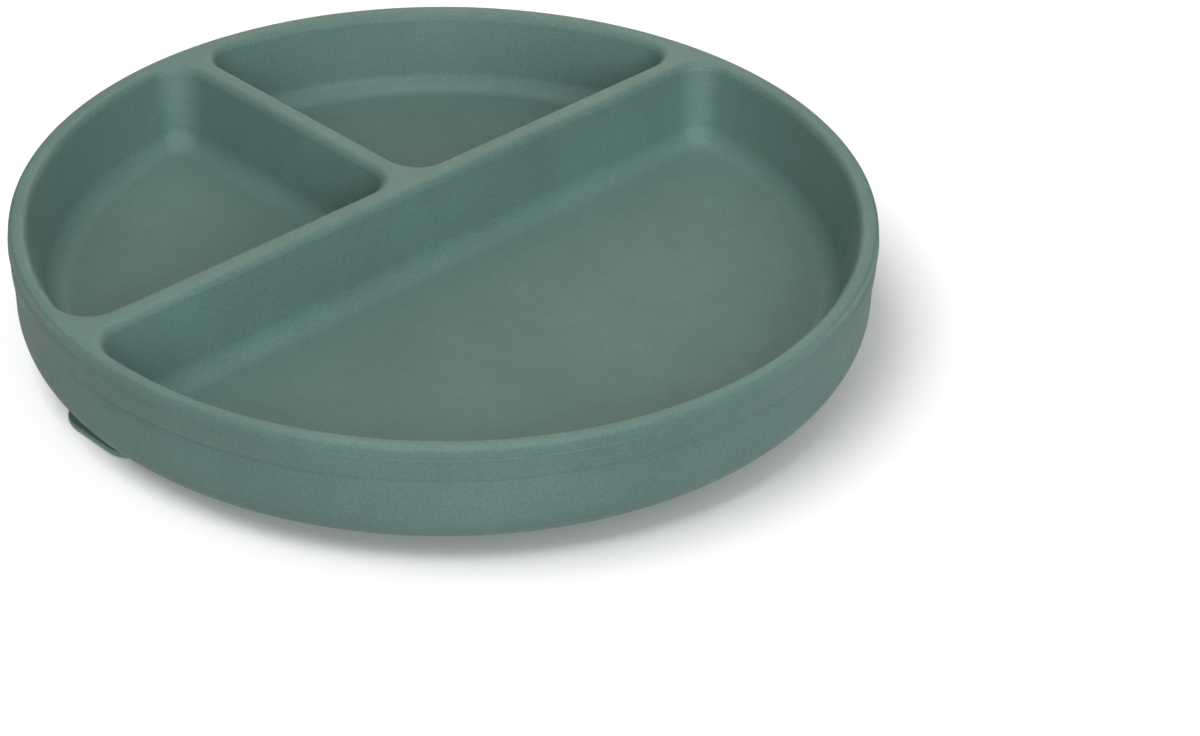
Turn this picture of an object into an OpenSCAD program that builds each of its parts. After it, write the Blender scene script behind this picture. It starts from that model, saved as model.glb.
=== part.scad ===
// Three-compartment silicone suction plate.
// The origin is on the plate's axis, on the surface that the plate stands on. +Z is up.
// +X runs along the main divider, away from the pull tab, and +Y points to the two small pockets.

/* [Plate] */
// Outer radius of the rim
rim_r = 97.5; // [90:0.5:105]
// Height of the rim above the table
rim_z = 29.5; // [28:0.5:34]
// Height of the skirt's foot above the table
foot_z = 3; // [2.5:0.1:4]
// Radius that rounds the skirt's foot on the outside
foot_round = 9; // [6:0.5:10]
// How far the wall is set back under the crown of the rim
wall_step = 0.6; // [0:0.1:1]
// Depth of the seam between tray and skirt, below the rim
seam_drop = 8.2; // [6:0.1:10]
// Height of the rim's crown, from its top to the moulding line under its outer edge
crown_h = 3.2; // [2.5:0.1:4]
// Height of the rounding on the crown's outer edge
crown_round = 2.8; // [1:0.1:3]
// Width of that rounding, seen from above
crown_in = 1.6; // [0.5:0.1:1.6]

/* [Pockets] */
// Radius of the circle that bounds all three pockets
pocket_r = 93; // [88:0.1:93]
// How far that circle's centre lies from the plate's axis, towards -X
pocket_shift_x = 0.6; // [0:0.1:0.6]
// How far that circle's centre lies from the plate's axis, towards -Y
pocket_shift_y = 0.55; // [0:0.05:0.55]
// Depth of the pocket floors below the rim
pocket_depth = 19; // [16:0.5:20]
// Draft of the pocket walls in degrees
draft = 12; // [5:1:16]
// Radius where the pocket walls meet the floor
floor_round = 5.5; // [3:0.5:7]
// Radius of the pockets' upper edges
edge_round = 2.2; // [1:0.1:2.2]
// Corner radius of the pockets in plan, at the rim
corner_r = 8; // [7:0.5:10]
// Thickness of the tray's floor and outer shell
shell_t = 2.6; // [2:0.1:3]

/* [Dividers] */
// Thickness of both dividers at the rim
divider_t = 5.7; // [5:0.1:7]
// Distance of the main divider's middle from the plate's centre
main_y = 10.6; // [5:0.1:15]
// Distance of the short divider's middle from the plate's centre
short_x = -0.5; // [-5:0.1:5]

/* [Suction base] */
// Radius of the base plate
base_r = 68; // [60:1:70]
// Thickness of the base plate
base_t = 3; // [2:0.1:3.2]
// Thickness of the bonding film between base plate and tray
bond_t = 0.3; // [0.2:0.05:0.5]
// Outer radius of the sealing lip
lip_r = 76.5; // [74:0.5:77]
// Width of the sealing lip
lip_w = 5; // [4:0.5:6]
// Thickness of the sealing lip
lip_t = 1.8; // [1.5:0.1:2]
// Thickness of the flexible web
web_t = 1.2; // [0.8:0.1:1.5]

/* [Pull tab] */
// Distance of the tab's middle from the X axis
tab_y = 12; // [8:0.5:14]
// Width of the tab
tab_w = 27; // [20:1:30]
// Distance of the tab's tip from the Y axis
tab_tip = 93; // [90:0.5:94]
// Distance of the tab's bending line from the Y axis
tab_bend = 80.5; // [80:0.5:82]
// Thickness of the tab
tab_t = 1.4; // [1:0.1:1.5]
// Height of the tab's underside above the table
tab_lift = 0.4; // [0.3:0.1:0.6]
// Corner radius of the tab's tip
tab_round = 8; // [4:0.5:10]
// Height of the relief that is cut in the skirt's foot above the tab
relief_h = 2.6; // [2.4:0.1:2.7]

/* [Hidden] */
sage = [0.42, 0.55, 0.51];
deep_sage = [0.36, 0.48, 0.45];
pale_sage = [0.52, 0.63, 0.59];
film_grey = [0.75, 0.78, 0.76];
ring_fn = 180;
small_fn = 24;
web_overlap = 0.5;
lip_margin = 2;
arc_steps = 72;
corner_steps = 8;
edge_steps = 4;
fillet_steps = 7;
corner_shrink = 0.55;
over = 1;

wall_r = rim_r - wall_step;
seam_z = rim_z - seam_drop;
floor_z = rim_z - pocket_depth;
under_z = floor_z - shell_t;
recess_r = 84;
relief_gap = 3.5;
bend_gap = 0.3;

// Radial inset of the pocket wall at the start and at the end of the floor fillet
wall_end = pocket_depth - floor_round * (1 - sin(draft));
wall_in = wall_end * tan(draft);
fillet_in = wall_in + floor_round * cos(draft);
// Outward reach of the upper edge's rounding
edge_out = edge_round * (1 - sin(draft)) / cos(draft);

// Each level of a pocket is [depth below the rim, inset of its outline]
edge_levels = [for (k = [0 : edge_steps])
    let (a = k * (90 - draft) / edge_steps)
    [edge_round * (1 - cos(a)), edge_round * sin(a) - edge_out]];
fillet_levels = [for (k = [0 : fillet_steps])
    let (a = draft + k * (90 - draft) / fillet_steps)
    [pocket_depth - floor_round * (1 - sin(a)), fillet_in - floor_round * cos(a)]];
levels = concat([[-over, -edge_out]], edge_levels, fillet_levels);

function arc_points(x, y, r, from, to, steps) =
    [for (k = [0 : steps]) let (a = from + (to - from) * k / steps) [x + r * cos(a), y + r * sin(a)]];

function corner_at(inset) = corner_r - corner_shrink * inset;

// Outline of the large pocket, below the main divider, seen from the middle of the pockets' circle
function main_outline(inset) =
    let (r = pocket_r - inset,
         c = corner_at(inset),
         y = main_y + pocket_shift_y - divider_t / 2 - inset - c,
         x = sqrt(pow(r - c, 2) - pow(y, 2)),
         a = atan2(y, x))
    concat(arc_points(-x, y, c, 90, 180 - a, corner_steps),
           arc_points(0, 0, r, 180 - a, 360 + a, arc_steps),
           arc_points(x, y, c, a, 90, corner_steps));

// Outline of a small pocket that starts at x_edge and lies on the +X side of it, seen from the same middle
function side_outline(inset, x_edge) =
    let (r = pocket_r - inset,
         c = corner_at(inset),
         x = x_edge + inset + c,
         y = main_y + pocket_shift_y + divider_t / 2 + inset + c,
         x_end = sqrt(pow(r - c, 2) - pow(y, 2)),
         y_end = sqrt(pow(r - c, 2) - pow(x, 2)),
         a = atan2(y, x_end),
         b = atan2(y_end, x))
    concat(arc_points(x, y, c, 180, 270, corner_steps),
           arc_points(x_end, y, c, -90, a, corner_steps),
           arc_points(0, 0, r, a, b, arc_steps / 2),
           arc_points(x, y_end, c, b, 180, corner_steps));

// Closed solid through a stack of outlines, from the top one down
module loft(outlines, drops) {
    n = len(outlines[0]);
    last = len(outlines) - 1;
    points = [for (k = [0 : last]) for (p = outlines[k]) [p[0], p[1], rim_z - drops[k]]];
    sides = [for (k = [0 : last - 1]) for (i = [0 : n - 1])
        let (j = (i + 1) % n, top = k * n, low = top + n)
        [top + i, top + j, low + j, low + i]];
    caps = [[for (i = [n - 1 : -1 : 0]) i], [for (i = [0 : n - 1]) last * n + i]];
    polyhedron(points = points, faces = concat(sides, caps), convexity = 4);
}

module main_pocket() {
    translate([-pocket_shift_x, -pocket_shift_y, 0]) loft([for (v = levels) main_outline(v[1])], [for (v = levels) v[0]]);
}

module side_pocket(x_edge) {
    loft([for (v = levels) side_outline(v[1], x_edge)], [for (v = levels) v[0]]);
}

// Outside of the tray's shell below the seam, from the axis outwards and up, as [radius, height]
shell_points = concat([[0, under_z]],
    arc_points(pocket_r - fillet_in, floor_z + floor_round, floor_round + shell_t, -90, -draft, fillet_steps),
    [[pocket_r - seam_drop * tan(draft) + shell_t / cos(draft), seam_z]]);

rim_points = concat([[wall_r, seam_z], [wall_r, rim_z - crown_h - wall_step / 2]],
    [for (p = arc_points(0, 0, 1, 0, 90, edge_steps))
        [rim_r - crown_in * (1 - p[0]), rim_z - crown_round * (1 - p[1])]],
    [[0, rim_z]]);

// Tray: three pockets, their dividers and the rim, down to the seam on the outer wall
module tray() {
    color(sage) difference() {
        rotate_extrude($fn = ring_fn) polygon(concat(shell_points, rim_points));
        main_pocket();
        translate([-pocket_shift_x, -pocket_shift_y, 0]) {
            side_pocket(short_x + pocket_shift_x + divider_t / 2);
            mirror([1, 0, 0]) side_pocket(divider_t / 2 - short_x - pocket_shift_x);
        }
    }
}

// Skirt: fills the wall below the seam and ends in a rounded foot, with a relief above the tab
module skirt_ring() {
    foot_x = wall_r - foot_round;
    outside = concat([[recess_r, foot_z]],
        arc_points(foot_x, foot_z + foot_round, foot_round, -90, 0, fillet_steps),
        [[wall_r, seam_z]]);
    inside = [for (k = [len(shell_points) - 1 : -1 : 1]) shell_points[k]];
    color(deep_sage) difference() {
        rotate_extrude($fn = ring_fn) polygon(concat(outside, inside, [[recess_r, under_z]]));
        translate([-rim_r - over, tab_y - tab_w / 2 - relief_gap, foot_z - over])
            cube([rim_r - lip_r + over, tab_w + 2 * relief_gap, relief_h + over]);
    }
}

plate_top = under_z - bond_t;
plate_low = plate_top - base_t;

// Base plate: the stiff disc in the middle of the suction base
module base_plate() {
    color(deep_sage) translate([0, 0, plate_low]) cylinder(h = base_t, r = base_r, $fn = ring_fn);
}

// Bonding film: holds the base plate under the pocket floors
module base_bond() {
    film_margin = 2;
    color(film_grey) translate([0, 0, plate_top]) cylinder(h = bond_t, r = base_r - film_margin, $fn = ring_fn);
}

// Web: thin cone that carries the sealing lip and flexes when the plate is pressed down
module cup_web() {
    fall = plate_low - lip_t;
    top_out = base_r - web_overlap;
    low_out = lip_r - lip_margin;
    width = web_t * sqrt(pow(low_out - top_out, 2) + pow(fall, 2)) / fall;
    color(sage) rotate_extrude($fn = ring_fn)
        polygon([[top_out - width, plate_low], [low_out - width, lip_t], [low_out, lip_t], [top_out, plate_low]]);
}

// Sealing lip: flat ring that lies on the table
module sealing_lip() {
    color(sage) difference() {
        cylinder(h = lip_t, r = lip_r, $fn = ring_fn);
        translate([0, 0, -over]) cylinder(h = lip_t + 2 * over, r = lip_r - lip_w, $fn = ring_fn);
    }
}

// Tab root: the stub on the lip that the tab bends from
module tab_root() {
    end_x = tab_bend - tab_t / 2 - bend_gap;
    reach = end_x - lip_r + lip_w + tab_w / 2;
    color(pale_sage) difference() {
        translate([-end_x, tab_y - tab_w / 2, tab_lift]) cube([reach, tab_w, tab_t]);
        translate([0, 0, -over]) cylinder(h = lip_t + 2 * over, r = lip_r, $fn = ring_fn);
    }
}

// Pull tab: lifted or pulled down to let air under the lip
module pull_tab() {
    corner_x = tab_round - tab_tip;
    corner_y = tab_w / 2 - tab_round;
    outline = concat([[-tab_bend, -tab_w / 2], [-tab_bend, tab_w / 2]],
        arc_points(corner_x, corner_y, tab_round, 90, 180, corner_steps),
        arc_points(corner_x, -corner_y, tab_round, 180, 270, corner_steps));
    color(pale_sage) translate([0, tab_y, tab_lift]) union() {
        linear_extrude(height = tab_t) polygon(outline);
        translate([-tab_bend, -tab_w / 2, tab_t / 2]) rotate([-90, 0, 0])
            cylinder(h = tab_w, r = tab_t / 2, $fn = small_fn);
    }
}

tray();
skirt_ring();
base_plate();
base_bond();
cup_web();
sealing_lip();
tab_root();
pull_tab();
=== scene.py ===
"""Looks of the divided suction plate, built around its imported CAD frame.

All lengths are in metres. The plate's axis is +Z, the main divider runs along X, and the pull tab
points to -X.
"""

import math

import bmesh
import bpy
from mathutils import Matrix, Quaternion, Vector, noise


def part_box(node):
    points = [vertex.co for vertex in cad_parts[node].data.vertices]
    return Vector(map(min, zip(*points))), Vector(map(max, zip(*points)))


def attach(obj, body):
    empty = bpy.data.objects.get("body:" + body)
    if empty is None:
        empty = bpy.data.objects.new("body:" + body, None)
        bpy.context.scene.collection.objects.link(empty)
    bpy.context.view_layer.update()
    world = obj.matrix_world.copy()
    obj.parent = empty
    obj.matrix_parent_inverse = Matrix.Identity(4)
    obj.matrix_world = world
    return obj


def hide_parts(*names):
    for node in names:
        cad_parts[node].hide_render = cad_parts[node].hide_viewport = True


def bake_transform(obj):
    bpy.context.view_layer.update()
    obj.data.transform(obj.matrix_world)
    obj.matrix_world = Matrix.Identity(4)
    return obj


MM = 0.001

# Pockets, as in the CAD source
POCKET_RADIUS = 93.0 * MM
POCKET_SHIFT_X = 0.6 * MM
POCKET_SHIFT_Y = 0.55 * MM
POCKET_DEPTH = 19.0 * MM
DRAFT = math.radians(12)
FLOOR_ROUND = 5.5 * MM
EDGE_ROUND = 2.2 * MM
CORNER_RADIUS = 8.0 * MM
CORNER_SHRINK = 0.55
DIVIDER = 5.7 * MM
MAIN_Y = 10.6 * MM
SHORT_X = -0.5 * MM
SHELL = 2.6 * MM

# Outer wall and skirt
CROWN_HEIGHT = 3.2 * MM
CROWN_ROUND = 2.8 * MM
CROWN_WIDTH = 1.6 * MM
CROWN_SQUARE = 0.7
SEAM_DROP = 8.2 * MM
FOOT_ROUND = 9.0 * MM
RECESS_RADIUS = 84.0 * MM
HEEL_ROUND = 0.5 * MM
RELIEF_HEIGHT = 2.6 * MM
RELIEF_MARGIN = 3.5 * MM
RELIEF_SLOPE = 3.0 * MM

# Fine detail of the moulding. FLASH_SECTION gives points of the moulding line under the rim, as
# (out, down) in units of its height. WALL_INSET, in the same units, is how far the wall lies inside
# the rim's radius.
FLASH_HEIGHT = 0.15 * MM
FLASH_SECTION = [
    (0, -1),
    (0, -0.6),
    (0.9, -0.3),
    (1, 0),
    (0.9, 0.3),
    (-0.2, 0.6),
    (-0.4, 1),
    (-0.4, 1.6),
]
WALL_INSET = 1.4
SEAM_GROOVE = 0.22 * MM
SEAM_LEAST = 0.35
SEAM_CHANGES = 2.3
CONTACT_GAP = 0.02 * MM
# Painted light on the top faces of the rim and the dividers: the depth below the top over which it fades in,
# and the tint it multiplies the base colour by.
PAINTED_LIGHT_DEPTH = 1.0 * MM
PAINTED_LIGHT_TINT = (1.22, 1.19, 1.16)

# Suction base and tab. DISH_SLOPE is (inwards, up) and GATE_SECTION (radius, up), both in millimetres.
BASE_EDGE = 0.8 * MM
BASE_DISH = 0.35 * MM
CHAMBER_RADIUS = 62.0 * MM
DISH_SLOPE = [(0.0, 0.0), (0.4, 0.06), (1.2, 0.29), (1.6, 0.35)]
GATE_SECTION = [(4.0, 0.0), (3.7, 0.1), (3.2, 0.3), (1.1, 0.3), (0.9, 0.1), (0.5, 0.0)]
LIP_WIDTH = 5.0 * MM
LIP_EDGE = 0.35 * MM
LIP_FEATHER = 0.7 * MM
LIP_SHOULDER = 1.2 * MM
LIP_SHOULDER_IN = 3.0 * MM
LIP_SLOPE = math.radians(50)
WEB_THICKNESS = 1.2 * MM
WEB_OVERLAP = 0.35 * MM
WEB_IN_JOINT = 0.9 * MM
WEB_FLARE = 1.1
WEB_SLANT = 1.45
WEB_BULGE = 0.15 * MM
TAB_CORNER = 8.0 * MM
TAB_EDGE = 0.35 * MM
TAB_INSET = 0.8 * MM
TAB_OVERLAP = 3.4 * MM
TAB_ROWS = 80
TAB_COLUMNS = 72

# Silicone: colours, and features of its patterns per metre
TRAY_COLOUR = (0.135, 0.215, 0.185)
SKIRT_COLOUR = (0.131, 0.211, 0.183)
BASE_COLOUR = (0.13, 0.205, 0.18)
# The tab's colour is lighter than the other parts' as painted light, so that its top, shaded by the skirt
# above, reads as lit.
TAB_PAINTED_LIGHT_COLOUR = (0.16, 0.255, 0.228)
FILM_COLOUR = (0.52, 0.56, 0.54)
CLOUDS = 38
WAVES = 260
SPECKLE = 1700
GRAIN = 4200

# Floor, backdrop and camera
FLOOR_HALF = 4.0
BACKDROP_RADIUS = 4.2
CAMERA_AIM = Vector((-24.1, -72.1, 29.5)) * MM
CAMERA_AZIMUTH = math.radians(-46.54)
CAMERA_ELEVATION = math.radians(33.81)
CAMERA_DISTANCE = 545.6 * MM
CAMERA_ROLL = math.radians(2.02)
CAMERA_LENS = 80.03

# Light: the room's two halves, and square lights as name, azimuth, elevation, distance, size, power
# and colour. Angles are in degrees. Azimuth 0 is on the -Y side and 90 on the +X side.
ROOM_BELOW = (0.475, 0.475, 0.475)
ROOM_ABOVE = (0.04, 0.04, 0.04)
PLATE_LIGHTS = [
    ("top_softbox", 0, 90, 1.0, 0.6, 3.5, (0.96, 1.0, 1.02)),
    ("front_low", -45, 18, 1.0, 0.45, 2.4, (0.95, 1.0, 1.03)),
    ("front_right", -10, 34, 1.0, 0.45, 4.0, (0.82, 1.0, 1.08)),
    ("front_left", -80, 34, 1.0, 0.45, 2.0, (0.87, 1.0, 1.04)),
    ("back_low", 135, 18, 1.0, 0.45, 1.0, (1.0, 1.0, 0.85)),
    ("back_high", 135, 48, 1.0, 0.45, 0.6, (1.1, 1.0, 0.75)),
    ("left_end", 205, -8, 1.0, 0.25, 0.7, (1.0, 1.0, 0.95)),
    ("right_end", 70, -8, 1.0, 0.25, 0.9, (1.0, 1.0, 0.95)),
]
FLOOR_LIGHTS = [
    ("floor_key", 245, 66, 6.4, 4.4, 300.0, (1, 1, 1)),
    ("floor_sky", 0, 90, 3.0, 12.0, 250.0, (1, 1, 1)),
]
FLOOR_GLOW = 0.14

# Mesh density, and the width of the narrow faces that keep flat faces flat in smooth shading
RING_STEPS = 720
ARC_STEPS = 160
CORNER_STEPS = 16
STRAIGHT_STEPS = 80
EDGE_STEPS = 8
FILLET_STEPS = 16
GROOVE_STEPS = 5
WEB_STEPS = 24
GUARD = 0.1 * MM


def arc(x, y, radius, start, end, steps):
    """Points on an arc, with its ends. The angles are in radians."""
    angles = [start + (end - start) * k / steps for k in range(steps + 1)]
    return [(x + radius * math.cos(a), y + radius * math.sin(a)) for a in angles]


def between(start, end, steps):
    """Evenly spaced points from start to end, without the two ends."""
    shares = [k / steps for k in range(1, steps)]
    return [tuple(s + (e - s) * t for s, e in zip(start, end)) for t in shares]


def smooth(value, low, high):
    """0 below low and 1 above high, with a smooth step in between."""
    t = min(1.0, max(0.0, (value - low) / (high - low)))
    return t * t * (3 - 2 * t)


class Moulding:
    """Collects vertices and faces of one closed mesh, built from rings of points."""

    def __init__(self):
        self.mesh = bmesh.new()

    def ring(self, points):
        """Vertices at the given points, as a list."""
        return [self.mesh.verts.new(p) for p in points]

    def face(self, *corners):
        """A face through its corners, where corners that coincide count once."""
        kept = list(dict.fromkeys(corners))
        if len(kept) > 2:
            self.mesh.faces.new(kept)

    def skin(self, first, second):
        """Quads between two closed rings of equal length."""
        count = len(first)
        for i in range(count):
            j = (i + 1) % count
            self.mesh.faces.new((first[i], first[j], second[j], second[i]))

    def fill(self, *rings):
        """Triangles over the flat area between closed rings."""
        edges = []
        for ring in rings:
            for i, vert in enumerate(ring):
                other = ring[(i + 1) % len(ring)]
                edges.append(self.mesh.edges.get((vert, other)) or self.mesh.edges.new((vert, other)))
        bmesh.ops.triangle_fill(self.mesh, edges=edges, use_beauty=True)

    def skin_all(self, rings):
        """Quads between each ring and the next one."""
        for first, second in zip(rings, rings[1:]):
            self.skin(first, second)

    def finish(self, name, material):
        """The mesh as a smooth-shaded object."""
        bmesh.ops.recalc_face_normals(self.mesh, faces=self.mesh.faces)
        data = bpy.data.meshes.new(name)
        self.mesh.to_mesh(data)
        self.mesh.free()
        data.shade_smooth()
        data.materials.append(material)
        piece = bpy.data.objects.new(name, data)
        bpy.context.scene.collection.objects.link(piece)
        return piece


def revolved_ring(radius, height, steps=RING_STEPS):
    """Points of a circle round the plate's axis. radius and height may be functions of the angle."""
    points = []
    for k in range(steps):
        a = 2 * math.pi * k / steps
        r = radius(a) if callable(radius) else radius
        z = height(a) if callable(height) else height
        points.append((r * math.cos(a), r * math.sin(a), z))
    return points


def pocket_levels():
    """Levels of a pocket from the rim down, as (depth, inset of its outline)."""
    edge_out = EDGE_ROUND * (1 - math.sin(DRAFT)) / math.cos(DRAFT)
    wall_end = POCKET_DEPTH - FLOOR_ROUND * (1 - math.sin(DRAFT))
    fillet_in = wall_end * math.tan(DRAFT) + FLOOR_ROUND * math.cos(DRAFT)
    levels = []
    for k in range(EDGE_STEPS + 1):
        a = (math.pi / 2 - DRAFT) * k / EDGE_STEPS
        levels.append((EDGE_ROUND * (1 - math.cos(a)), EDGE_ROUND * math.sin(a) - edge_out))
    for k in range(FILLET_STEPS + 1):
        a = DRAFT + (math.pi / 2 - DRAFT) * k / FILLET_STEPS
        depth = POCKET_DEPTH - FLOOR_ROUND * (1 - math.sin(a))
        levels.append((depth, fillet_in - FLOOR_ROUND * math.cos(a)))
    return levels


def main_outline(inset):
    """Outline of the large pocket, counter-clockwise, at an inset from its wall line at the rim."""
    radius = POCKET_RADIUS - inset
    corner = CORNER_RADIUS - CORNER_SHRINK * inset
    y = MAIN_Y + POCKET_SHIFT_Y - DIVIDER / 2 - inset - corner
    x = math.sqrt((radius - corner) ** 2 - y**2)
    a = math.atan2(y, x)
    left = arc(-x, y, corner, math.pi / 2, math.pi - a, CORNER_STEPS)
    outside = arc(0, 0, radius, math.pi - a, 2 * math.pi + a, ARC_STEPS)
    right = arc(x, y, corner, a, math.pi / 2, CORNER_STEPS)
    points = left + outside[1:-1] + right + between(right[-1], left[0], STRAIGHT_STEPS * 2)
    return [(px - POCKET_SHIFT_X, py - POCKET_SHIFT_Y) for px, py in points]


def side_outline(inset, x_edge, side):
    """Outline of a small pocket that starts at x_edge, on the +X side (side 1) or mirrored (side -1)."""
    radius = POCKET_RADIUS - inset
    corner = CORNER_RADIUS - CORNER_SHRINK * inset
    x = x_edge + side * POCKET_SHIFT_X + inset + corner
    y = MAIN_Y + POCKET_SHIFT_Y + DIVIDER / 2 + inset + corner
    x_end = math.sqrt((radius - corner) ** 2 - y**2)
    y_end = math.sqrt((radius - corner) ** 2 - x**2)
    a = math.atan2(y, x_end)
    b = math.atan2(y_end, x)
    inner = arc(x, y, corner, math.pi, 1.5 * math.pi, CORNER_STEPS)
    end = arc(x_end, y, corner, -math.pi / 2, a, CORNER_STEPS)
    outside = arc(0, 0, radius, a, b, ARC_STEPS // 2)
    far = arc(x, y_end, corner, b, math.pi, CORNER_STEPS)
    bottom = between(inner[-1], end[0], STRAIGHT_STEPS)
    back = between(far[-1], inner[0], STRAIGHT_STEPS)
    points = inner + bottom + end + outside[1:-1] + far + back
    return [(px * side - POCKET_SHIFT_X, py - POCKET_SHIFT_Y) for px, py in points]


def shell_profile(floor_z, seam_z):
    """Outside of the tray's shell below the seam, from the flat underside up, as (radius, height)."""
    wall_end = POCKET_DEPTH - FLOOR_ROUND * (1 - math.sin(DRAFT))
    middle = POCKET_RADIUS - wall_end * math.tan(DRAFT) - FLOOR_ROUND * math.cos(DRAFT)
    rounding = arc(middle, floor_z + FLOOR_ROUND, FLOOR_ROUND + SHELL, -math.pi / 2, -DRAFT, FILLET_STEPS)
    top = (POCKET_RADIUS - SEAM_DROP * math.tan(DRAFT) + SHELL / math.cos(DRAFT), seam_z)
    return rounding + [top]


def seam_share(angle):
    """How open the seam is round the plate, from SEAM_LEAST to 1."""
    value = noise.noise(Vector((math.cos(angle), math.sin(angle), 0)) * SEAM_CHANGES)
    return SEAM_LEAST + (1 - SEAM_LEAST) * smooth(value, -0.35, 0.35)


def groove_ring(wall_r, edge_z, turn, side):
    """A ring of the seam's rounded edge, turn radians round it, above (side 1) or below it (side -1)."""

    def radius(angle):
        return wall_r - SEAM_GROOVE * seam_share(angle) * (1 - math.cos(turn))

    def height(angle):
        return edge_z + side * SEAM_GROOVE * seam_share(angle) * (1 - math.sin(turn))

    return revolved_ring(radius, height)


def crown_profile(top_z, rim_r):
    """The rim's outside from its flat top down past the moulding line, as (radius, height)."""
    crown_r = rim_r - FLASH_HEIGHT
    flash_z = top_z - CROWN_HEIGHT
    profile = [(rim_r - CROWN_WIDTH - GUARD, top_z)]
    for x, y in arc(0, 0, 1, math.pi / 2, 0, EDGE_STEPS * 2):
        across = (CROWN_WIDTH - FLASH_HEIGHT) * (1 - max(0.0, x) ** CROWN_SQUARE)
        profile.append((crown_r - across, top_z - CROWN_ROUND * (1 - max(0.0, y) ** CROWN_SQUARE)))
    for out, down in FLASH_SECTION:
        profile.append((crown_r + FLASH_HEIGHT * out, flash_z - FLASH_HEIGHT * down))
    return profile


def tray_moulding(material):
    """The tray: rim, outer wall down to the seam, three pockets and the shell's underside."""
    low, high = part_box("tray")
    top_z, under_z = high.z, low.z
    rim_r = high.x
    seam_z = top_z - SEAM_DROP
    wall_r = rim_r - FLASH_HEIGHT * WALL_INSET
    body = Moulding()

    rings = [body.ring(revolved_ring(r, z)) for r, z in crown_profile(top_z, rim_r)]
    for k in range(GROOVE_STEPS):
        turn = math.pi / 2 * k / (GROOVE_STEPS - 1)
        rings.append(body.ring(groove_ring(wall_r, seam_z, turn, 1)))
    shell = shell_profile(top_z - POCKET_DEPTH, seam_z)
    rings += [body.ring(revolved_ring(r, z)) for r, z in reversed(shell)]
    rings.append(body.ring(revolved_ring(shell[0][0] - GUARD, under_z)))
    body.skin_all(rings)
    body.fill(rings[-1])

    outlines = [
        main_outline,
        lambda inset: side_outline(inset, SHORT_X + DIVIDER / 2, 1),
        lambda inset: side_outline(inset, DIVIDER / 2 - SHORT_X, -1),
    ]
    mouths = []
    levels = pocket_levels()
    levels = [(0, levels[0][1] - GUARD), *levels, (POCKET_DEPTH, levels[-1][1] + GUARD)]
    for outline in outlines:
        walls = []
        for depth, inset in levels:
            walls.append(body.ring([(x, y, top_z - depth) for x, y in outline(inset)]))
        body.skin_all(walls)
        body.fill(walls[-1])
        mouths.append(walls[0])
    body.fill(rings[0], *mouths)
    return body.finish("tray_moulding", material)


def relief_share(x, y, tab_low, tab_high):
    """1 where the skirt's foot is cut back over the tab, falling smoothly to 0 beside it."""
    if x > 0:
        return 0.0
    low, high = tab_low.y - RELIEF_MARGIN, tab_high.y + RELIEF_MARGIN
    return smooth(y, low, low + RELIEF_SLOPE) * (1 - smooth(y, high - RELIEF_SLOPE, high))


def skirt_moulding(material):
    """The skirt: the outer wall below the seam, its rounded foot, and the relief over the tab."""
    low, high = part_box("skirt_ring")
    tab_low, tab_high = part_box("pull_tab")
    tray_low, tray_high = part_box("tray")
    foot_z, seam_z = low.z, high.z
    wall_r = high.x
    under_z = tray_low.z
    body = Moulding()

    shell = shell_profile(tray_high.z - POCKET_DEPTH, seam_z)
    inside = [(r + CONTACT_GAP, z - CONTACT_GAP) for r, z in shell]
    foot = arc(wall_r - FOOT_ROUND, foot_z + FOOT_ROUND, FOOT_ROUND, -math.pi / 2, 0, FILLET_STEPS * 2)
    heel = arc(RECESS_RADIUS + HEEL_ROUND, foot_z + HEEL_ROUND, HEEL_ROUND, math.pi, 1.5 * math.pi, 4)
    profile = [(RECESS_RADIUS, under_z - CONTACT_GAP), *heel, *foot]

    rings = []
    for r, z in [*reversed(inside), *profile]:
        points = []
        for x, y, height in revolved_ring(r, z):
            share = relief_share(x, y, tab_low, tab_high)
            ceiling = foot_z + RELIEF_HEIGHT * share
            points.append((x, y, max(height, ceiling)))
        rings.append(body.ring(points))
    for k in range(GROOVE_STEPS):
        turn = math.pi / 2 * (k + 1) / GROOVE_STEPS
        rings.append(body.ring(groove_ring(wall_r, seam_z - CONTACT_GAP, turn, -1)))
    body.skin_all(rings)
    body.skin(rings[-1], rings[0])
    return body.finish("skirt_moulding", material)


def revolved_piece(name, profile, material, capped=False):
    """A closed ring with the given profile, or with capped a disc, filled inside the first and last ring."""
    body = Moulding()
    rings = [body.ring(revolved_ring(r, z)) for r, z in profile]
    body.skin_all(rings)
    if capped:
        body.fill(rings[0])
        body.fill(rings[-1])
    else:
        body.skin(rings[-1], rings[0])
    return body.finish(name, material)


def base_disc(material):
    """The stiff disc over the suction chamber, with rounded edges, a shallow dish and a gate mark below."""
    low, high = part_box("base_plate")
    inner_r = high.x - BASE_EDGE
    top = [(inner_r - GUARD, high.z), *arc(inner_r, high.z - BASE_EDGE, BASE_EDGE, math.pi / 2, 0, 6)]
    bottom = arc(inner_r, low.z + BASE_EDGE, BASE_EDGE, 0, -math.pi / 2, 6)
    slope = [(CHAMBER_RADIUS - inward * MM, low.z + up * MM) for inward, up in DISH_SLOPE]
    gate = [(r * MM, low.z + BASE_DISH + up * MM) for r, up in GATE_SECTION]
    return revolved_piece("base_disc", top + bottom + slope + gate, material, capped=True)


def web_cone(material):
    """The flexible cone between the base disc and the sealing lip, with a soft S-shaped section."""
    low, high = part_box("cup_web")
    lip_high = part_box("sealing_lip")[1]
    disc_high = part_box("base_plate")[1]
    top_r = disc_high.x - WEB_IN_JOINT - WEB_THICKNESS
    end_r = lip_high.x - LIP_WIDTH + WEB_IN_JOINT
    outer, inner = [], []
    for k in range(WEB_STEPS + 1):
        t = k / WEB_STEPS
        r = top_r + (end_r - top_r) * t
        z = high.z + WEB_OVERLAP + (low.z - high.z - 2 * WEB_OVERLAP) * smooth(t, 0, 1)
        flare = WEB_THICKNESS * (1 + WEB_FLARE * (2 * t - 1) ** 6)
        inner.append((r, z))
        outer.append((r + flare * WEB_SLANT, z + WEB_BULGE * math.sin(math.pi * t)))
    return revolved_piece("web_cone", inner + outer[::-1], material)


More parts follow.
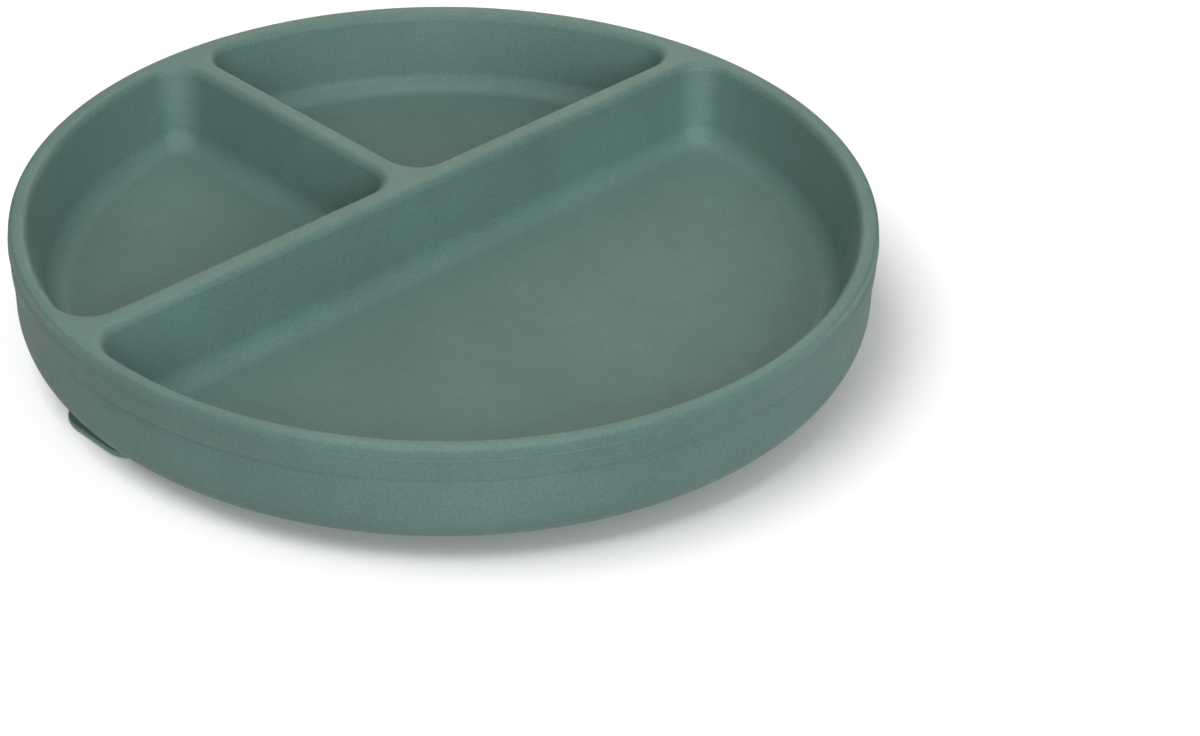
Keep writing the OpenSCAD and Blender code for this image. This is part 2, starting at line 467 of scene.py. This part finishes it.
def lip_ring(material):
    """The sealing lip: flat below, with a feathered outer edge."""
    low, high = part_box("sealing_lip")
    outer_r = high.x
    inner_r = outer_r - LIP_WIDTH
    shoulder_r = outer_r - LIP_SHOULDER_IN
    shoulder_z = high.z - LIP_SHOULDER
    profile = arc(inner_r + LIP_EDGE, low.z + LIP_EDGE, LIP_EDGE, math.pi, 1.5 * math.pi, 4)
    profile += arc(outer_r - LIP_EDGE, low.z + LIP_EDGE, LIP_EDGE, -math.pi / 2, 0, 4)
    profile += arc(outer_r - LIP_FEATHER, low.z + LIP_FEATHER, LIP_FEATHER, 0.1, LIP_SLOPE, 6)
    profile += arc(shoulder_r, shoulder_z, LIP_SHOULDER, LIP_SLOPE, math.pi / 2, 6)
    profile += arc(inner_r + LIP_EDGE, high.z - LIP_EDGE, LIP_EDGE, math.pi / 2, math.pi, 4)
    return revolved_piece("lip_ring", profile, material)


def tab_flap(material):
    """The pull tab with its root: one soft flap that leaves the lip and ends in a rounded tip."""
    low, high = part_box("pull_tab")
    tip_x = low.x + TAB_INSET
    lip_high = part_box("sealing_lip")[1]
    root_r = lip_high.x - TAB_OVERLAP
    half = (high.y - low.y) / 2
    middle = (high.y + low.y) / 2
    mid_z = (high.z + low.z) / 2
    root_half = (high.z - low.z) / 2 - CONTACT_GAP
    body = Moulding()

    def corner_reach(offset):
        """How far the outline lies behind the tip's line at a sideways offset."""
        over = max(0.0, abs(offset) - (half - TAB_CORNER))
        return TAB_CORNER - math.sqrt(max(0.0, TAB_CORNER**2 - over**2))

    def edge_distance(x, offset):
        """Distance from a point of the flap to its free edge."""
        over_x = tip_x + TAB_CORNER - x
        over_y = abs(offset) - (half - TAB_CORNER)
        if over_x > 0 and over_y > 0:
            return TAB_CORNER - math.hypot(over_x, over_y)
        return min(half - abs(offset), x - tip_x)

    tops, bottoms = {}, {}
    for i in range(TAB_ROWS + 1):
        share = math.sin(math.pi / 2 * i / TAB_ROWS)
        for j in range(TAB_COLUMNS + 1):
            offset = half * math.sin(math.pi / 2 * (2 * j / TAB_COLUMNS - 1))
            y = middle + offset
            root_x = -math.sqrt(root_r**2 - y**2)
            x = root_x + (tip_x + corner_reach(offset) - root_x) * share
            inward = min(1.0, max(0.0, edge_distance(x, offset)) / TAB_EDGE)
            reach = root_half * math.sqrt(1 - (1 - inward) ** 2)
            tops[i, j] = body.mesh.verts.new((x, y, mid_z + reach))
            bottoms[i, j] = tops[i, j]
            if reach > 0:
                bottoms[i, j] = body.mesh.verts.new((x, y, mid_z - reach))
    for i in range(TAB_ROWS):
        for j in range(TAB_COLUMNS):
            body.face(tops[i, j], tops[i, j + 1], tops[i + 1, j + 1], tops[i + 1, j])
            body.face(bottoms[i, j], bottoms[i + 1, j], bottoms[i + 1, j + 1], bottoms[i, j + 1])
    for j in range(TAB_COLUMNS):
        body.face(tops[0, j], tops[0, j + 1], bottoms[0, j + 1], bottoms[0, j])
    return body.finish("tab_flap", material)


def add_node(tree, kind, inputs=None, **settings):
    """A new node with its settings and unlinked input values."""
    node = tree.nodes.new(kind)
    for key, value in settings.items():
        setattr(node, key, value)
    for key, value in (inputs or {}).items():
        node.inputs[key].default_value = value
    return node


def noise_node(tree, place, scale, detail):
    """A noise texture over the piece's own coordinates. scale is in features per metre."""
    node = add_node(tree, "ShaderNodeTexNoise", {"Scale": scale, "Detail": detail, "Roughness": 0.55})
    tree.links.new(place.outputs["Object"], node.inputs["Vector"])
    return node


def blend_colours(tree, factor, first, second, low, high):
    """A colour that goes from first to second as factor goes from low to high."""
    ramp = add_node(tree, "ShaderNodeValToRGB")
    ramp.color_ramp.elements[0].position = low
    ramp.color_ramp.elements[0].color = (*first, 1)
    ramp.color_ramp.elements[1].position = high
    ramp.color_ramp.elements[1].color = (*second, 1)
    tree.links.new(factor, ramp.inputs["Fac"])
    return ramp.outputs["Color"]


def multiply_colours(tree, first, second):
    """The product of two colours."""
    product = add_node(tree, "ShaderNodeMix", data_type="RGBA", blend_type="MULTIPLY")
    product.inputs["Factor"].default_value = 1
    tree.links.new(first, product.inputs["A"])
    tree.links.new(second, product.inputs["B"])
    return product.outputs["Result"]


def silicone(name, colour, roughness=0.5, grain=1.0, sheen=0.04):
    """Pigmented silicone: soft mottling, fine speckle, grained roughness and bump, and a dusty sheen."""
    material = bpy.data.materials.new(name)
    material.use_nodes = True
    tree = material.node_tree
    shader = tree.nodes["Principled BSDF"]
    place = add_node(tree, "ShaderNodeTexCoord")
    clouds = noise_node(tree, place, CLOUDS, 3)
    speckle = noise_node(tree, place, SPECKLE, 2)
    fine = noise_node(tree, place, GRAIN, 2)
    waves = noise_node(tree, place, WAVES, 3)

    darker = [c * 0.94 for c in colour]
    lighter = [min(1.0, c * 1.06) for c in colour]
    mottled = blend_colours(tree, clouds.outputs["Fac"], darker, lighter, 0.32, 0.68)
    dots = blend_colours(tree, speckle.outputs["Fac"], (0.86, 0.87, 0.87), (1.1, 1.09, 1.09), 0.28, 0.72)
    tree.links.new(multiply_colours(tree, mottled, dots), shader.inputs["Base Color"])

    rough = add_node(tree, "ShaderNodeMapRange", {"From Min": 0.3, "From Max": 0.7})
    rough.inputs["To Min"].default_value = roughness - 0.05
    rough.inputs["To Max"].default_value = roughness + 0.07
    tree.links.new(waves.outputs["Fac"], rough.inputs["Value"])
    tree.links.new(rough.outputs["Result"], shader.inputs["Roughness"])

    soft = add_node(tree, "ShaderNodeBump", {"Strength": 0.5, "Distance": 0.05 * MM * grain})
    tree.links.new(waves.outputs["Fac"], soft.inputs["Height"])
    sharp = add_node(tree, "ShaderNodeBump", {"Strength": 0.5, "Distance": 0.012 * MM * grain})
    tree.links.new(fine.outputs["Fac"], sharp.inputs["Height"])
    tree.links.new(soft.outputs["Normal"], sharp.inputs["Normal"])
    tree.links.new(sharp.outputs["Normal"], shader.inputs["Normal"])

    shader.inputs["Specular IOR Level"].default_value = 0.4
    shader.inputs["Sheen Weight"].default_value = sheen
    shader.inputs["Sheen Roughness"].default_value = 0.5
    return material


def paint_top_light(material, top_z):
    """Makes the top faces of the rim and the dividers paler than the walls: painted light on the tops, not a
    colour the silicone is known to have.
    """
    tree = material.node_tree
    shader = tree.nodes["Principled BSDF"]
    colour = shader.inputs["Base Color"].links[0].from_socket
    place = add_node(tree, "ShaderNodeTexCoord")
    split = add_node(tree, "ShaderNodeSeparateXYZ")
    tree.links.new(place.outputs["Object"], split.inputs["Vector"])
    height = add_node(tree, "ShaderNodeMapRange", {"From Min": top_z - PAINTED_LIGHT_DEPTH, "From Max": top_z})
    height.interpolation_type = "SMOOTHSTEP"
    tree.links.new(split.outputs["Z"], height.inputs["Value"])
    facing = add_node(tree, "ShaderNodeNewGeometry")
    up = add_node(tree, "ShaderNodeSeparateXYZ")
    tree.links.new(facing.outputs["Normal"], up.inputs["Vector"])
    level = add_node(tree, "ShaderNodeMapRange", {"From Min": 0.75, "From Max": 1.0})
    tree.links.new(up.outputs["Z"], level.inputs["Value"])
    top_light_mask = add_node(tree, "ShaderNodeMath", operation="MULTIPLY")
    tree.links.new(height.outputs["Result"], top_light_mask.inputs[0])
    tree.links.new(level.outputs["Result"], top_light_mask.inputs[1])
    tint = blend_colours(tree, top_light_mask.outputs["Value"], (1, 1, 1), PAINTED_LIGHT_TINT, 0, 1)
    tree.links.new(multiply_colours(tree, colour, tint), shader.inputs["Base Color"])


def bond_film(name):
    """Cured adhesive, clear and slightly cloudy. A guess, because the bond is hidden."""
    material = silicone(name, FILM_COLOUR, roughness=0.3, grain=0.5, sheen=0)
    material.node_tree.nodes["Principled BSDF"].inputs["Coat Weight"].default_value = 0.3
    return material


def paper(name, shade, glow):
    """A matt white or, with shade 0, black surface that also glows."""
    material = bpy.data.materials.new(name)
    material.use_nodes = True
    shader = material.node_tree.nodes["Principled BSDF"]
    shader.inputs["Base Color"].default_value = (shade, shade, shade, 1)
    shader.inputs["Roughness"].default_value = 1
    shader.inputs["Specular IOR Level"].default_value = 0
    shader.inputs["Emission Color"].default_value = (1, 1, 1, 1)
    shader.inputs["Emission Strength"].default_value = glow
    return material


def floor_material():
    """White paper. Seen from below it is clear, so that the underside can be looked at."""
    material = paper("floor_paper", 0.9, FLOOR_GLOW)
    tree = material.node_tree
    side = add_node(tree, "ShaderNodeNewGeometry")
    clear = add_node(tree, "ShaderNodeBsdfTransparent")
    mix = add_node(tree, "ShaderNodeMixShader")
    tree.links.new(side.outputs["Backfacing"], mix.inputs["Fac"])
    tree.links.new(tree.nodes["Principled BSDF"].outputs["BSDF"], mix.inputs[1])
    tree.links.new(clear.outputs["BSDF"], mix.inputs[2])
    tree.links.new(mix.outputs["Shader"], tree.nodes["Material Output"].inputs["Surface"])
    return material


def towards(azimuth, elevation):
    """Unit vector from the plate to a viewer or a light. Azimuth 0 is on the -Y side, 90 on the +X side."""
    flat = math.cos(elevation)
    return Vector((math.sin(azimuth) * flat, -math.cos(azimuth) * flat, math.sin(elevation)))


def add_stage(name, mesh, material, height=0):
    """A surface round the plate that only the camera sees."""
    data = bpy.data.meshes.new(name)
    mesh.to_mesh(data)
    mesh.free()
    data.materials.append(material)
    surface = bpy.data.objects.new(name, data)
    surface.location.z = height
    bpy.context.scene.collection.objects.link(surface)
    for kind in ("diffuse", "glossy", "transmission", "shadow"):
        setattr(surface, "visible_" + kind, False)
    return surface


def add_backdrop():
    """A white dome round everything."""
    mesh = bmesh.new()
    bmesh.ops.create_uvsphere(mesh, u_segments=64, v_segments=32, radius=BACKDROP_RADIUS)
    add_stage("backdrop", mesh, paper("backdrop_paper", 0, 1))


def add_floor():
    """A white sheet just below the lip."""
    mesh = bmesh.new()
    bmesh.ops.create_grid(mesh, x_segments=1, y_segments=1, size=FLOOR_HALF)
    return add_stage("floor", mesh, floor_material(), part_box("sealing_lip")[0].z - CONTACT_GAP)


def light_group(name, floor, state):
    """What a light falls on: only the floor, with state INCLUDE, or all but the floor, with EXCLUDE."""
    group = bpy.data.collections.new(name)
    group.objects.link(floor)
    group.collection_objects[0].light_linking.link_state = state
    return group


def add_light(group, name, azimuth, elevation, distance, size, power, colour):
    """A square soft light that faces the plate. The angles are in degrees."""
    data = bpy.data.lights.new(name, "AREA")
    data.shape = "SQUARE"
    data.size = size
    data.energy = power
    data.color = colour
    light = bpy.data.objects.new(name, data)
    back = towards(math.radians(azimuth), math.radians(elevation))
    light.location = back * distance
    light.rotation_mode = "QUATERNION"
    light.rotation_quaternion = back.to_track_quat("Z", "Y")
    light.light_linking.receiver_collection = group
    bpy.context.scene.collection.objects.link(light)


def add_world(below, above):
    """The room: its lower half stands in for the light that a floor throws back, and its upper half is dim."""
    world = bpy.data.worlds.new("studio")
    world.use_nodes = True
    tree = world.node_tree
    background = tree.nodes["Background"]
    place = add_node(tree, "ShaderNodeTexCoord")
    split = add_node(tree, "ShaderNodeSeparateXYZ")
    tree.links.new(place.outputs["Generated"], split.inputs["Vector"])
    height = add_node(tree, "ShaderNodeMapRange", {"From Min": -0.25, "From Max": 0.25})
    tree.links.new(split.outputs["Z"], height.inputs["Value"])
    shade = blend_colours(tree, height.outputs["Result"], below, above, 0.0, 1.0)
    tree.links.new(shade, background.inputs["Color"])
    bpy.context.scene.world = world


def add_camera():
    """The camera, with its long lens and its slight roll."""
    data = bpy.data.cameras.new("camera")
    data.lens = CAMERA_LENS
    data.clip_start = 0.01
    camera = bpy.data.objects.new("camera", data)
    back = towards(CAMERA_AZIMUTH, CAMERA_ELEVATION)
    camera.location = CAMERA_AIM + back * CAMERA_DISTANCE
    camera.rotation_mode = "QUATERNION"
    camera.rotation_quaternion = back.to_track_quat("Z", "Y") @ Quaternion((0, 0, 1), CAMERA_ROLL)
    bpy.context.scene.collection.objects.link(camera)
    bpy.context.scene.camera = camera


def give(piece, body, slot, *nodes):
    """Lets a piece ride on its body, in place of its CAD nodes. The slot is not used."""
    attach(piece, body)
    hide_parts(*nodes)


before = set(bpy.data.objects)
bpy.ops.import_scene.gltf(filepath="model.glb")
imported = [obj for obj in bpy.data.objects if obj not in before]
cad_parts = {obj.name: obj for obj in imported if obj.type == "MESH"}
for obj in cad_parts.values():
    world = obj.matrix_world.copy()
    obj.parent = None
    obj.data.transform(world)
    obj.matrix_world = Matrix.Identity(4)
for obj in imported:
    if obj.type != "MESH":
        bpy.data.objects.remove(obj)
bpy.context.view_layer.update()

tray_look = silicone("tray_silicone", TRAY_COLOUR)
# Painted light: the tray's upward-facing top faces get a paler base colour.
paint_top_light(tray_look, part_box("tray")[1].z)
skirt_look = silicone("skirt_silicone", SKIRT_COLOUR)
base_look = silicone("base_silicone", BASE_COLOUR, roughness=0.4, grain=0.6)
# The tab's material uses the lighter colour, which is painted light.
tab_look = silicone("tab_silicone", TAB_PAINTED_LIGHT_COLOUR, roughness=0.48)

give(tray_moulding(tray_look), "plate", "tray_silicone", "tray")
give(skirt_moulding(skirt_look), "plate", "skirt_silicone", "skirt_ring")
give(base_disc(base_look), "plate", "base_silicone", "base_plate")
give(lip_ring(base_look), "lip", "base_silicone", "sealing_lip")

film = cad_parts["base_bond"]
film.data.materials.clear()
film.data.materials.append(bond_film("bond_film"))

web = web_cone(base_look)
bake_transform(web)
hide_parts("cup_web")

flap = tab_flap(tab_look)
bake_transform(flap)
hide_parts("tab_root", "pull_tab")

add_backdrop()
floor = add_floor()
on_floor = light_group("on_floor", floor, "INCLUDE")
on_plate = light_group("on_plate", floor, "EXCLUDE")
add_world(ROOM_BELOW, ROOM_ABOVE)
for light in PLATE_LIGHTS:
    add_light(on_plate, *light)
for light in FLOOR_LIGHTS:
    add_light(on_floor, *light)
add_camera()
bpy.context.scene.view_settings.view_transform = "Standard"
